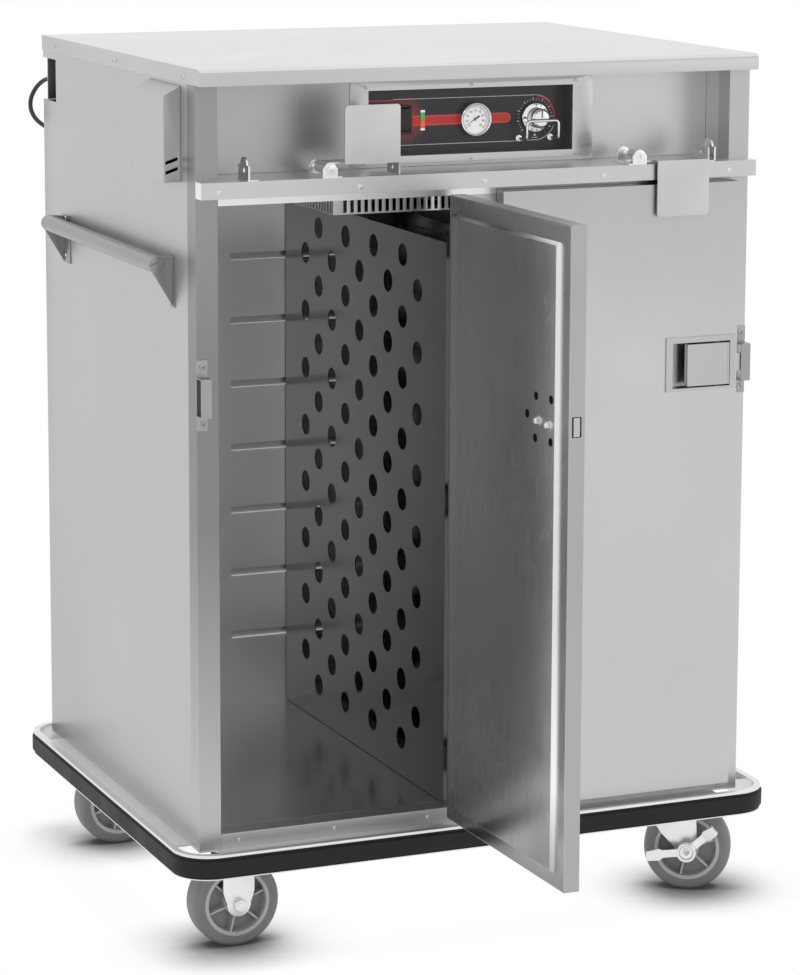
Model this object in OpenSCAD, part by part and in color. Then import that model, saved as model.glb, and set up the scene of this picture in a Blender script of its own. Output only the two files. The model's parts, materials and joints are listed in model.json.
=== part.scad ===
// Enclosed two-compartment meal tray cart: stainless cabinet with two hinged
// doors, heated top section with controls, wrap-round bumper and four casters.
// +Z is up, the doors face -Y, the origin is on the floor under the middle.

/* [Cabinet] */
// Overall cabinet width over the side panels
cab_w = 1000; // [980:1:1020]
// Depth from the face frame to the back panel
cab_d = 815; // [805:1:820]
// Height of the top cover above the floor
top_z = 1475; // [1470:1:1490]
// Sheet thickness of the panels
sheet = 1.5; // [1.2:0.1:1.8]

/* [Doors] */
// Rest angle of the left door from closed
left_open = 91; // [0:1:91]
// Door thickness from face to back flange
door_t = 27; // [25:0.5:27]
// Height of the raised panel on the inside of each door
pan_h = 6; // [4:0.5:6]

/* [Perforated dividers] */
// Diameter of the air holes
hole_d = 39; // [30:1:42]
// Hole pitch from front to back
hole_py = 65; // [60:1:66]
// Hole pitch from top to bottom
hole_pz = 106.5; // [100:0.5:107]

/* [Bumper] */
// Bumper half width
bump_x = 547; // [545:1:552]
// Corner radius of the bumper
bump_r = 65; // [60:1:70]

/* [Casters] */
// Wheel diameter
wheel_d = 152.4; // [150:0.1:152.4]
// Tread width
tread_w = 50; // [44:1:50]
// Swivel trail
trail = 38; // [34:1:40]
// Angle that the swivel casters stand at
swivel_a = -30; // [-40:5:0]

/* [Cord] */
// Cord diameter
cord_d = 8; // [7:0.5:8]

/* [Hidden] */
$fn = 48;
ys = -183.7;               // brings the middle of the footprint to y = 0
hw = cab_w/2;
steel = [0.78,0.78,0.77];
dull = [0.60,0.60,0.59];
dark = [0.10,0.10,0.11];
zinc = [0.72,0.73,0.74];
fx = -421; fy1 = 60; fy2 = 679;   // fixed wheels
kx = 395; ky1 = 59; ky2 = 698;    // kingpins of the swivel casters
wr = wheel_d/2;
hinge_x = 33.5; hinge_y = -37.5;
hz = [280, 725, 1170];

module bx(x0,x1,y0,y1,z0,z1) translate([x0,y0,z0]) cube([x1-x0,y1-y0,z1-z0]);
module cz(x,y,z0,z1,r) translate([x,y,z0]) cylinder(h=z1-z0,r=r);
module cy(x,z,y0,y1,r) translate([x,y0,z]) rotate([-90,0,0]) cylinder(h=y1-y0,r=r);
module cx(y,z,x0,x1,r) translate([x0,y,z]) rotate([0,90,0]) cylinder(h=x1-x0,r=r);
module at() translate([0,ys,0]) children();
// profile in (y, z) extruded along x
module xprof(x0,x1,pts) translate([x0,0,0]) rotate([90,0,90]) linear_extrude(x1-x0) polygon(pts);
// profile in (x, z) extruded along y
module yprof(y0,y1,pts) translate([0,y1,0]) rotate([90,0,0]) linear_extrude(y1-y0) polygon(pts);
module rr(x0,x1,y0,y1,r) { translate([x0+r,y0]) square([x1-x0-2*r,y1-y0]); translate([x0,y0+r]) square([x1-x0,y1-y0-2*r]);
  for (x=[x0+r,x1-r], y=[y0+r,y1-r]) translate([x,y]) circle(r); }
module ring(i0,i1,z0,z1) translate([0,0,z0]) linear_extrude(z1-z0) difference() {
  rr(-bump_x+i0,bump_x-i0,-58+i0,842-i0,bump_r-i0); rr(-bump_x+i1,bump_x-i1,-58+i1,842-i1,bump_r-i1); }

// ---- cabinet shell ----
module top_cover() at() color(steel) difference() {
  union() { bx(-hw-1.5,hw+1.5,-18,816.5,1448.2,top_z); bx(-hw-1.5,hw+1.5,-28,0,1448.2,top_z-10);
    translate([0,-18,top_z-10]) rotate([0,90,0]) translate([0,0,-hw-1.5]) cylinder(h=2*hw+3,r=10); }
  bx(-hw,hw,88,815,1440,top_z-2);
  bx(-hw,hw,-26,84,1450,top_z-11); }
module left_side_panel() at() color(steel) difference() {
  bx(-hw,-hw+sheet,40,cab_d-sheet,185,1448);
  bx(-hw-1,-hw+3,740,820,1360,1435); }
module right_side_panel() at() color(steel) bx(hw-sheet,hw,40,cab_d-sheet,185,1448);
module back_panel() at() color(steel) difference() {
  bx(-hw,hw,cab_d-sheet,cab_d,185,1448);
  bx(-hw-1,-440,cab_d-3,cab_d+1,1360,1435); }
module tube_up(x0,x1,z0,z1) difference() { bx(x0,x1,0,40,z0,z1); bx(x0+sheet,x1-sheet,sheet,40-sheet,z0-1,z1+1); }
module face_frame() at() color(steel) { bx(-461.9,461.9,0,40,185,209.9); tube_up(-hw,-462,185,1448); tube_up(462,hw,185,1448); tube_up(-37,37,210,1254); }
module header_ledge() at() color(steel) {
  xprof(-461.9,461.9,[[0,1254],[40,1254],[40,1255.5],[1.5,1255.5],[1.5,1293.5],[85,1293.5],[85,1295],[0,1295]]);
  xprof(-hw,hw,[[-28,1268],[-0.1,1268],[-0.1,1269.5],[-26.5,1269.5],[-26.5,1293.5],[-0.1,1293.5],[-0.1,1295],[-28,1295]]);
  xprof(-461.9,461.9,[[-0.2,1293.5],[1,1293.5],[1,1295],[-0.2,1295]]);
  for (x=[-hw,hw-sheet]) bx(x,x+sheet,-28,-0.1,1268,1295); }
module recess_panel() at() color(steel) {
  difference() { bx(-461.9,461.9,85,86.5,1295,1448); bx(-167,207,80,90,1313,1423); }
  for (s=[-1,1]) translate([s*462.7,0,0]) bx(-0.75,0.75,40,86.5,1295,1448); }
module back_box(x0,x1,y0,y1,z0,z1,t) difference() { bx(x0-t,x1+t,y0,y1,z0-t,z1+t); bx(x0,x1,y0-1,y1+1,z0,z1); }
module control_frame() at() color(steel) {
  difference() { bx(-200,244,83.5,85,1297,1440); bx(-167,207,80,90,1313,1423); }
  back_box(-167,207,86.5,118,1313,1423,1.2);
  for (p=[[-171,1428],[20,1428],[212,1430],[-171,1304],[20,1304],[212,1305]]) cy(p[0],p[1],81.8,83.5,3.2); }
module control_panel() at() color(dark) difference() {
  bx(-168.2,208.2,118,120,1311.8,1424.2);
  cy(152.5,1366,110,125,3.3); cy(39.5,1367,110,125,24); bx(-98,-78,110,125,1349,1390); }
module thermometer() at() { color(zinc) difference() { cy(39.5,1367,106,118,28); cy(39.5,1367,105,115,25.5); cy(39.5,1367,114,119,23); }
  color("white") cy(39.5,1367,115,130,22.9);
  color(zinc) cy(39.5,1367,111.6,115,1); }
module thermometer_needle() at() color(dark) translate([39.5,0,1367]) difference() {
  union() { cy(0,0,112.6,113.6,3); rotate([0,-32,0]) { translate([-19,112.6,-0.8]) cube([19,1,1.6]); translate([0,112.6,-1.8]) cube([8,1,3.6]); } }
  cy(0,0,110,116,1.05); }
module thermostat_knob() at() color(zinc) { cy(152.5,1366,113,116,25); cy(152.5,1366,89,113,17); cy(152.5,1366,116,124,3.2);
  bx(151.3,153.7,87.8,89,1367,1381); }
module knob_guard() at() color(zinc) for (x=[122,181]) { cy(x,1331.5,115.5,118,6); cy(x,1331.5,83,115.5,2.5); cz(x,83,1331.5,1363,2.5);
  translate([x,83,1331.5]) sphere(2.5); translate([x,83,1363]) sphere(2.5); if (x<150) cx(83,1363,122,181,2.5); }
module switch_rocker() at() color(dark) { xprof(-97.7,-78.3,[[117.5,1350],[117.5,1389],[111,1389],[113.5,1369.5],[116.5,1350]]); cx(117,1369.5,-97.7,-78.3,3); }
module indicator_lamps() at() {
  color("green") bx(-59,-51,116,118,1368.3,1385); color("orangered") bx(-59,-51,116,118,1351,1367.7);
  color(dark) difference() { bx(-101,-75,115.5,118,1345,1394); bx(-98,-78,115,119,1349,1390); } }
// ---- cavity ----
module side_liners() at() color(dull) for (s=[-1,1]) translate([s*462.75,0,0]) bx(-0.75,0.75,40,765,210,1254);
module rear_liner() at() color(dull) difference() { union() { bx(-463.5,463.5,765,766.5,208.5,1255.5);
    for (k=[0:6]) translate([0,0,1061-119.5*k]) bx(-162.5,162.5,766,777.5,-8.5,8); }
  for (k=[0:6]) translate([0,0,1061-119.5*k]) bx(-161,161,760,776,-7,6.5); }
module deck_liners() at() color(dull) { difference() { bx(-463.5,463.5,40,765,1254,1255.5); cz(0,180,1250,1260,9); } bx(-463.5,463.5,40,765,208.5,210); }
module insulation() at() color([0.85,0.8,0.5]) { for (s=[-1,1]) translate([s*481,0,0]) bx(-17,17,42,764,212,1250); bx(-460,460,779,812,212,1250); }
module divider() color(dull) { difference() { bx(-53,-51.5,20,762,211,1173);
    for (k=[0:8], j=[0:8]) { z = (k%2==0 ? 1077 : 1130) - hole_pz*j; if (z > 240) cx(140+hole_py*k, z, -56,-48, hole_d/2); } }
  bx(-53,-37.1,20,21.5,211,1173); bx(-51.5,-40,20,762,210,211.5); }
module divider_walls() at() for (m=[0,1]) mirror([m,0,0]) divider();
module blower_cover() at() color(steel) difference() { bx(-246,246,42,250,1225,1254); bx(-244.8,244.8,43.2,248.8,1226.2,1255);
  for (k=[-18:18]) translate([12.5*k,0,0]) bx(-3,3,40,45,1228,1251);
  for (k=[0:14]) translate([0,56+12.5*k,0]) bx(-250,250,-3,3,1228,1251); }
module blower_motor() at() color([0.3,0.3,0.32]) { cz(0,180,1257,1330,42); cz(0,180,1232,1257,5); bx(-60,60,172,188,1257,1260); }
module blower_wheel() at() color(zinc) difference() { union() { cz(0,180,1232,1248,9); cz(0,180,1232,1233.5,58);
    for (a=[0:30:330]) translate([0,180,0]) rotate([0,0,a]) translate([44,-0.8,1233]) rotate([0,0,35]) cube([14,1.6,14]); }
  cz(0,180,1230,1250,5.06); }
// ---- base, bumper, handle ----
module base_frame() at() color(dull) { translate([0,0,182]) linear_extrude(3) { translate([-hw,0]) square([2*hw,cab_d]);
    translate([-470,-44]) square([920,45]); translate([-533,45]) square([34,700]); translate([499,45]) square([34,700]); translate([-450,814]) square([900,14]); }
  for (y=[54,673]) bx(-360,330,y,y+26,160,182); }
module bumper_channel() at() color(steel) { ring(12,14,150,192.5); ring(2.5,12.01,187.5,192.5); ring(3,12.01,150,152); }
module bumper_strip() at() color(dark) { ring(0,12,157,183); ring(4,12,152,157); ring(4,12,183,187.5); }
module push_handle() at() color(steel) { cy(-529,1149,105,700,14.25);
  for (p=[[100,124],[663,709]]) bx(-502,-500,p[0],p[1],1078,1164);
  for (y=[106,695]) yprof(y,y+4,[[-502,1079],[-501.9,1161],[-529,1163],[-542,1149],[-538,1138]]); }
module side_vent() at() color(steel) difference() { yprof(69,219,[[-500,1287],[-530,1287],[-530,1428],[-500,1444]]);
  yprof(70.5,217.5,[[-499,1288.5],[-528.5,1288.5],[-528.5,1427],[-499,1442.5]]);
  for (z=[1300,1316]) yprof(60,75,[[-526,z],[-526,z+5],[-505,z+12],[-505,z+7]]); }
// ---- casters ----
module tyre_core() rotate([90,0,0]) difference() { rotate_extrude($fn=96) {
    polygon([[57.5,-25],[67.5,-25],[71,-23.8],[73.6,-21.6],[75.4,-18.6],[wr,-15],[wr,15],[75.4,18.6],[73.6,21.6],[71,23.8],[67.5,25],[57.5,25]]);
    polygon([[51,-26],[57.6,-26],[57.6,26],[51,26]]); polygon([[16,-5],[51.5,-5],[51.5,5],[16,5]]); translate([0,-27]) square([17,54]); }
  translate([0,0,-30]) cylinder(h=60,r=6.1); for (a=[0:45:315]) rotate([0,0,a]) translate([34,0,-10]) cylinder(h=20,r=8); }
module axle() { cy(0,0,-33,33,6); for (s=[-1,1]) translate([0,s*38.5,0]) cy(0,0,-5,5,10); cy(0,0,-45,45,6); }
module leg(pts,x,r) difference() { union() { yprof(28.5,32.5,pts); cy(x,76.2,28.5,32.5,r); } cy(x,76.2,20,40,5.9); }
module fork(pts,x,r,zt) { for (m=[0,1]) mirror([0,m,0]) intersection() { leg(pts,x,r); bx(-100,120,0,100,40,zt); } }
module rigid_casters() at() color(zinc) for (y=[fy1,fy2]) translate([fx,y,0]) { fork([[-27.5,180],[-27.5,98],[-22,80],[22,80],[27.5,98],[27.5,180]],0,21,176); bx(-50,50,-45,45,176,182);
  translate([0,0,76.2]) axle(); }
module swivel_plates() at() color(zinc) for (y=[ky1,ky2]) translate([kx,y,0]) { bx(-45,45,-55,55,176,182); cz(0,0,168.4,176,30); cz(0,0,156,170,6); cz(0,0,156,159.7,9); }
module swivel(y) at() translate([kx,y,0]) rotate([0,0,swivel_a]) children();
module fork_body(y) swivel(y) color(zinc) { difference() { union() { cz(0,0,160,168,34); fork([[-33,180],[-29,145],[-20,123],[-6,103],[10,87],[21,74],[trail+17,74],[trail+17,105],[52,180]],trail,17,168); bx(-31,52,-32.5,32.5,160,168); } cz(0,0,150,180,6.06); }
  translate([trail,0,76.2]) { axle(); cy(0,0,-53,-45,6); } }
module fork_fr() fork_body(ky1);
module fork_rr() fork_body(ky2);
module wheel_fl() at() color([0.45,0.45,0.45]) translate([fx,fy1,wr]) tyre_core();
module wheel_rl() at() color([0.45,0.45,0.45]) translate([fx,fy2,wr]) tyre_core();
module wheel_fr() swivel(ky1) color([0.45,0.45,0.45]) translate([trail,0,wr]) tyre_core();
module wheel_rr() swivel(ky2) color([0.45,0.45,0.45]) translate([trail,0,wr]) tyre_core();
module brake(y) swivel(y) color("white") translate([trail,0,wr]) difference() { union() { cy(0,0,-56,-46,17);
    for (a=[0,1]) rotate([0,a?-42:174,0]) { translate([12,-55,-7.5]) cube([38,8,15]); translate([48,-61,-11]) cube([a?18:22,15.5,22]); } }
  cy(0,0,-60,-44,6.06); }
module brake_fr() brake(ky1);
module brake_rr() brake(ky2);
// ---- cord ----
module cord_plate() at() color(steel) { bx(-498,-440,795,797,1361,1434); bx(-440,-438.5,795,813.4,1360,1435);
  bx(-498,-438.5,795,813.4,1435,1436.5); bx(-498,-438.5,795,813.4,1358.5,1360);
  difference() { bx(-333,-315,815,830.5,1112,1124); cz(-324,824,1100,1130,4.1); } }
module strain_relief() at() color(dark) translate([-482,797,1394]) rotate([-90,0,0]) rotate_extrude($fn=32) polygon([[0,0],[11,0],[11,4],[8,6],[5.6,25],[0,25]]);
route = [[-482,822,1394],[-483,842,1393],[-488,861,1387],[-496,875,1374],[-503,882,1356],[-505,879,1337],[-501,867,1321],[-491,853,1309],[-475,841,1299],[-452,832,1289],
 [-424,827,1277],[-396,825,1263],[-370,824,1245],[-348,824,1222],[-333,824,1194],[-326,824,1164],[-324,824,1130],[-324,824,1080],
 [-324,824,900],[-324,824,700],[-324,825,500],[-324,826,340],[-324,829,275],[-323,836,232],[-322,844,200],[-322,849,172],[-322,850,130],[-322,850,80],[-322,850,44],
 [-321,853,29],[-321,862,16],[-321,875,7],[-321,890,4],[-321,905,4]];
function crp(a,b,c,d,t) = 0.5*((2*b)+(c-a)*t+(2*a-5*b+4*c-d)*t*t+(3*b-a-3*c+d)*t*t*t);
nr = len(route);
function rp(i) = route[max(0,min(nr-1,i))];
path = concat([for (i=[0:nr-2], n=[ceil(norm(rp(i+1)-rp(i))/24)], k=[0:n-1]) crp(rp(i-1),rp(i),rp(i+1),rp(i+2),k/n)],[rp(nr-1)]);
np = len(path);
function unit(v) = v/norm(v);
function tan_(i) = unit(path[min(np-1,i+1)]-path[max(0,i-1)]);
module sweep(r,s) { pts = [for (i=[0:np-1], t=[tan_(i)], n=[unit(cross(t,[1,0,0]))], b=[cross(t,n)], k=[0:s-1]) path[i]+r*(cos(360*k/s)*n+sin(360*k/s)*b)];
  polyhedron(pts, concat([[for (k=[0:s-1]) s-1-k]],[for (i=[0:np-2], k=[0:s-1]) [i*s+k,i*s+(k+1)%s,(i+1)*s+(k+1)%s,(i+1)*s+k]],[[for (k=[0:s-1]) (np-1)*s+k]])); }
module cord_lead() at() color(dark) sweep(cord_d/2,8);
module cord_coil() at() color(dark) { translate([-270,905,0]) rotate_extrude($fn=64) translate([38.5,0]) square([17,24]);
  translate([-212,862,14]) rotate([0,0,9.24]) rotate([7.85-90,0,0]) cylinder(h=43.5,r=4); }
module plug() at() color(dark) { cy(-212,14,816,848,14); cy(-212,14,848,862,7); for (x=[-218.3,-205.7]) bx(x-0.8,x+0.8,799,816,13.5,19.9); cy(-212,5.8,796,816,2.4); }
// ---- doors, drawn closed on the right ----
module raise(i,y1) hull() { bx(41.5+i,436-i,-1-i,-0.9-i,225+i,1230-i); bx(46.5+i,431-i,y1-0.1-i,y1-i,230+i,1225-i); }
module skin_c() color(steel) difference() { bx(28.5,470,-28,-28+door_t,202.5,1260); bx(28.5+sheet,470-sheet,-28+sheet,0,202.5+sheet,1260-sheet);
  bx(345.2,457.3,-30,-25,907.7,988.3); bx(467,472,-22,-6,931,963); }
module pan_c() color(steel) difference() { union() { bx(30,468.5,-2.5,-1,204,1258.5); raise(0,-1+pan_h); } raise(1.5,-1+pan_h+0.2);
  bx(45,432,-3,-2,229,1226);
  for (p=[[356,976],[410,978],[325,943],[355,909],[409,911]]) cy(p[0],p[1],-5,8,3); }
module case_c() color(dull) { difference() { bx(334,467,-30,-28,904,997); bx(346.5,456,-31,-27,909,987); }
  difference() { bx(345.3,457.2,-28,-6,907.8,988.2); bx(346.5,456,-29,-7.2,909,987); bx(455,458,-21,-7.5,931,963); } }
module paddle_c() color(steel) { bx(374,451,-31.5,-28.7,912,984); bx(374,376,-31.5,-20,912,984); cz(452.3,-30,912,984,2.4); bx(450,452.3,-31.5,-28.7,912,984); }
module bolt_c(x) color(dull) bx(x-54,x,-19.5,-8.5,932,962);
module leaves_c() color(zinc) for (z=hz) difference() { union() { bx(38,110,-31,-28,z-27,z+27); cz(hinge_x,hinge_y,z-14,z+14,5.5);
    bx(hinge_x+1,hinge_x+9,hinge_y+1,-28,z-14,z+14); bx(35.5,40,-31,-28,z-14,z+14); } cz(hinge_x,hinge_y,z-20,z+20,2.56); }
module jambs_c() color(zinc) for (z=hz) { bx(2,26,-42,0,z-30,z+30);
  for (s=[-1,1]) { translate([0,0,z+s*22.3]) { cz(hinge_x,hinge_y,-7.8,7.8,5.5); bx(25,hinge_x,-43,-32,-7.8,7.8); } } cz(hinge_x,hinge_y,z-29,z+29,2.5);
  cz(hinge_x,hinge_y,z+30,z+34,4.5); }
module on_left() at() translate([-hinge_x,hinge_y,0]) rotate([0,0,left_open]) translate([hinge_x,-hinge_y,0]) mirror([1,0,0]) children();
module left_door_skin() on_left() skin_c();
module left_door_pan() on_left() pan_c();
module left_latch_case() on_left() case_c();
module left_latch_paddle() on_left() paddle_c();
module left_latch_bolt() on_left() bolt_c(470);
module left_hinge_leaves() on_left() leaves_c();
module right_door_skin() at() skin_c();
module right_door_pan() at() pan_c();
module right_latch_case() at() case_c();
module right_latch_paddle() at() paddle_c();
module right_latch_bolt() at() bolt_c(490);
module right_hinge_leaves() at() leaves_c();
module hinge_jambs() at() for (m=[0,1]) mirror([m,0,0]) jambs_c();
module strikes() at() color(zinc) for (m=[0,1]) mirror([m,0,0]) { bx(482,500,-1.5,0,890,915); bx(482,500,-1.5,0,976,1006);
  bx(482,500,-22,-20.5,913.5,977.5); bx(482,500,-22,0,913.5,915); bx(482,500,-22,0,976,977.5); for (z=[901,995]) cy(492,z,-4,-1.5,3.5); }
// ---- flip locks ----
module bracket_c(hr,hzl) color(zinc) { bx(258,292,-28,36,1295,1297);
  for (y=[[-28,-25],[33,36]]) { bx(266,292,y[0],y[1],1297,1311); cy(279,1309,y[0],y[1],11); } cy(283,1309,-31,38,4);
  difference() { union() { bx(418,421,-30,16,1297,1320); cx(-7,1318,418,421,15); } cx(-11,hzl,415,424,hr); } bx(402,421,-27,16,1295,1297); }
module lockplate_c() color(steel) difference() { union() { bx(312,406,-36,14,1298,1301); bx(286,312.5,-24,14,1298,1301); cy(283,1309,-24,14,8);
    bx(283,293,-24,14,1298,1305); bx(309,406,-36.5,-33.5,1212,1301); bx(315,400,-36.5,-33.5,1206,1213);
    cy(315,1212,-36.5,-33.5,6); cy(400,1212,-36.5,-33.5,6); bx(403,406,-36,12,1300,1321); }
  cy(283,1309,-40,40,4.06); cx(-11,1311,400,410,4.5); }
module lock_brackets() at() { bracket_c(4.5,1311); mirror([1,0,0]) bracket_c(4.8,1311.4); }
module right_lock_plate() at() lockplate_c();
module left_lock_plate() at() mirror([1,0,0]) translate([283,0,1309]) rotate([0,180,0]) translate([-283,0,-1309]) lockplate_c();

top_cover();
left_side_panel();
right_side_panel();
back_panel();
header_ledge();
recess_panel();
control_frame();
control_panel();
thermometer();
thermometer_needle();
thermostat_knob();
knob_guard();
switch_rocker();
indicator_lamps();
side_liners();
rear_liner();
insulation();
blower_cover();
blower_motor();
blower_wheel();
base_frame();
bumper_channel();
bumper_strip();
rigid_casters();
swivel_plates();
fork_fr();
fork_rr();
wheel_fl();
wheel_rl();
wheel_fr();
wheel_rr();
brake_fr();
brake_rr();
push_handle();
side_vent();
cord_plate();
strain_relief();
cord_lead();
cord_coil();
plug();
left_door_skin();
left_door_pan();
left_latch_case();
left_latch_paddle();
left_latch_bolt();
left_hinge_leaves();
right_door_skin();
right_door_pan();
right_latch_case();
right_latch_paddle();
right_latch_bolt();
right_hinge_leaves();
hinge_jambs();
strikes();
lock_brackets();
left_lock_plate();
right_lock_plate();
face_frame();
deck_liners();
divider_walls();
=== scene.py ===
import json
import math
import bpy
import bmesh
from mathutils import Matrix, Vector

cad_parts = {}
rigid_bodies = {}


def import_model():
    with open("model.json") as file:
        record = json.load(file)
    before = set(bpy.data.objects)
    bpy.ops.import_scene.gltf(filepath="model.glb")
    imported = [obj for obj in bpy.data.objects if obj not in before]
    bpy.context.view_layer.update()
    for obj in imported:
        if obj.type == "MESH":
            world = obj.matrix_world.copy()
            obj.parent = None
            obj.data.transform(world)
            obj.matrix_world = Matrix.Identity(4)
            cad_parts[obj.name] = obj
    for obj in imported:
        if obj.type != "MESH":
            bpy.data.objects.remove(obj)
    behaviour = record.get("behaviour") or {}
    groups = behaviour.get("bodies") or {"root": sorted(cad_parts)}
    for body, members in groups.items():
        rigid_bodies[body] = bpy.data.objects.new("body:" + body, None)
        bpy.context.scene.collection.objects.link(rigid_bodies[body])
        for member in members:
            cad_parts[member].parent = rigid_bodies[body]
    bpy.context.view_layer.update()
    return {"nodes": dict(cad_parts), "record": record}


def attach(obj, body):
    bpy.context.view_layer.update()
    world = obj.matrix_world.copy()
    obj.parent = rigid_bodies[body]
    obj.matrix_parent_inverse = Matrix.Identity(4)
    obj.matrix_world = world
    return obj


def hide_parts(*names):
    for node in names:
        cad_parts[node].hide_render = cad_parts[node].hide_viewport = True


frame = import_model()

YS = -183.7                       # the part's own shift in y, mm
R = math.radians


def D(x, y, z):
    """A point in millimetres before the shift, in metres in the part's frame."""
    return Vector((x / 1000.0, (y + YS) / 1000.0, z / 1000.0))


# ------------------------------------------------------------------ camera
yaw, pitch, roll = R(22.963), R(9.585), R(0.201)
fw = Vector((math.sin(yaw) * math.cos(pitch), math.cos(yaw) * math.cos(pitch), -math.sin(pitch)))
right = Vector((math.cos(yaw), -math.sin(yaw), 0))
up = right.cross(fw)
r2 = math.cos(roll) * right + math.sin(roll) * up
u2 = r2.cross(fw)
cam_data = bpy.data.cameras.new("camera")
cam = bpy.data.objects.new("camera", cam_data)
bpy.context.scene.collection.objects.link(cam)
m = Matrix((r2, u2, -fw)).transposed().to_4x4()
m.translation = D(-2339.8, -5182.0, 1919.4)
cam.matrix_world = m
cam_data.sensor_fit = "AUTO"
cam_data.sensor_width = 36.0
cam_data.lens = 3456.9 * 36.0 / 975.0
cam_data.shift_x = 0.0
cam_data.shift_y = -0.121
cam_data.clip_start = 0.1
cam_data.clip_end = 100.0
bpy.context.scene.camera = cam


def link(obj):
    bpy.context.scene.collection.objects.link(obj)
    return obj


# ------------------------------------------------------------------ material helpers
def new_mat(name):
    mat = bpy.data.materials.new(name)
    mat.use_nodes = True
    nt = mat.node_tree
    nt.nodes.clear()
    out = nt.nodes.new("ShaderNodeOutputMaterial")
    bsdf = nt.nodes.new("ShaderNodeBsdfPrincipled")
    nt.links.new(bsdf.outputs[0], out.inputs[0])
    return mat, nt, bsdf


def coords(nt, scale=(1, 1, 1), rot=(0, 0, 0)):
    tc = nt.nodes.new("ShaderNodeTexCoord")
    mp = nt.nodes.new("ShaderNodeMapping")
    mp.inputs["Scale"].default_value = scale
    mp.inputs["Rotation"].default_value = rot
    nt.links.new(tc.outputs["Object"], mp.inputs["Vector"])
    return mp.outputs["Vector"]


def noise_tex(nt, vec, scale, detail=3.0, rough=0.55):
    n = nt.nodes.new("ShaderNodeTexNoise")
    n.inputs["Scale"].default_value = scale
    n.inputs["Detail"].default_value = detail
    n.inputs["Roughness"].default_value = rough
    nt.links.new(vec, n.inputs["Vector"])
    return n.outputs["Fac"]


def ramp(nt, fac, stops):
    r = nt.nodes.new("ShaderNodeValToRGB")
    el = r.color_ramp.elements
    while len(el) < len(stops):
        el.new(0.5)
    for e, (p, c) in zip(el, stops):
        e.position = p
        e.color = c if len(c) == 4 else (*c, 1)
    nt.links.new(fac, r.inputs["Fac"])
    return r.outputs["Color"]


def maprange(nt, fac, a, b, c, d):
    n = nt.nodes.new("ShaderNodeMapRange")
    for i, v in zip((1, 2, 3, 4), (a, b, c, d)):
        n.inputs[i].default_value = v
    nt.links.new(fac, n.inputs[0])
    return n.outputs[0]


def math_(nt, op, a, b):
    n = nt.nodes.new("ShaderNodeMath")
    n.operation = op
    for i, v in enumerate((a, b)):
        if isinstance(v, (int, float)):
            n.inputs[i].default_value = v
        else:
            nt.links.new(v, n.inputs[i])
    return n.outputs[0]


def bump(nt, bsdf, height, strength, dist=0.001):
    b = nt.nodes.new("ShaderNodeBump")
    b.inputs["Strength"].default_value = strength
    b.inputs["Distance"].default_value = dist
    nt.links.new(height, b.inputs["Height"])
    nt.links.new(b.outputs[0], bsdf.inputs["Normal"])
    return b


def steel(name, col=0.56, rough=0.34, grain="z", spread=0.06, streak=0.035, bmp=0.05, tint=(1.0, 1.0, 0.995), wave=0.0, painted_light_fade=None):
    """Stainless sheet: fine lines along one axis, slow cloudy change of polish, faint handling marks; the optional fade
    scales the colour along an axis as painted light and shade.
    """
    mat, nt, b = new_mat(name)
    s = {"x": (6, 900, 900), "y": (900, 6, 900), "z": (900, 900, 6)}[grain]
    fine = noise_tex(nt, coords(nt, s), 1.0, 2.0)
    cloud = noise_tex(nt, coords(nt, (1, 1, 1)), 3.2, 4.0)
    marks = noise_tex(nt, coords(nt, (1, 1, 1)), 26.0, 6.0, 0.7)
    rg = math_(nt, "ADD", maprange(nt, fine, 0.3, 0.7, -streak, streak), maprange(nt, cloud, 0.3, 0.7, rough - spread * 0.5, rough + spread * 0.5))
    rg = math_(nt, "ADD", rg, maprange(nt, marks, 0.55, 0.8, 0.0, 0.05))
    nt.links.new(rg, b.inputs["Roughness"])
    lo = tuple(col * 0.965 * t for t in tint); hi = tuple(min(1.0, col * 1.035 * t) for t in tint)
    c = ramp(nt, cloud, [(0.3, lo), (0.7, hi)])
    for fd in ([] if not painted_light_fade else painted_light_fade if isinstance(painted_light_fade, list) else [painted_light_fade]):      # painted light and shade gradient: (axis 0..2, from m, to m, factor at from, factor at to)
        sx = nt.nodes.new("ShaderNodeSeparateXYZ")
        nt.links.new(coords(nt), sx.inputs[0])
        k = maprange(nt, sx.outputs[fd[0]], fd[1], fd[2], fd[3], fd[4])
        vm = nt.nodes.new("ShaderNodeVectorMath")
        vm.operation = "SCALE"
        nt.links.new(c, vm.inputs[0])
        nt.links.new(k, vm.inputs["Scale"])
        c = vm.outputs[0]
    nt.links.new(c, b.inputs["Base Color"])
    b.inputs["Metallic"].default_value = 1.0
    if bmp:
        h = fine
        if wave:
            h = math_(nt, "ADD", math_(nt, "MULTIPLY", fine, 0.25), math_(nt, "MULTIPLY", noise_tex(nt, coords(nt), wave, 1.0), 3.0))
        bump(nt, b, h, bmp, 0.0002)
    return mat


def plastic(name, col, rough=0.5, bmp=0.1, scale=900.0, spread=0.08, coat=0.0, metallic=0.0, emit=None, spec=0.5):
    mat, nt, b = new_mat(name)
    b.inputs["Specular IOR Level"].default_value = spec
    n = noise_tex(nt, coords(nt), scale, 2.0)
    c = noise_tex(nt, coords(nt), 14.0, 4.0)
    nt.links.new(maprange(nt, c, 0.3, 0.7, rough - spread, rough + spread), b.inputs["Roughness"])
    lo = tuple(v * 0.9 for v in col); hi = tuple(min(1, v * 1.1) for v in col)
    nt.links.new(ramp(nt, c, [(0.3, lo), (0.7, hi)]), b.inputs["Base Color"])
    b.inputs["Metallic"].default_value = metallic
    if coat:
        b.inputs["Coat Weight"].default_value = coat
    if emit:
        b.inputs["Emission Color"].default_value = (*emit[0], 1)
        b.inputs["Emission Strength"].default_value = emit[1]
    if bmp:
        bump(nt, b, n, bmp, 0.0003)
    return mat


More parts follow.
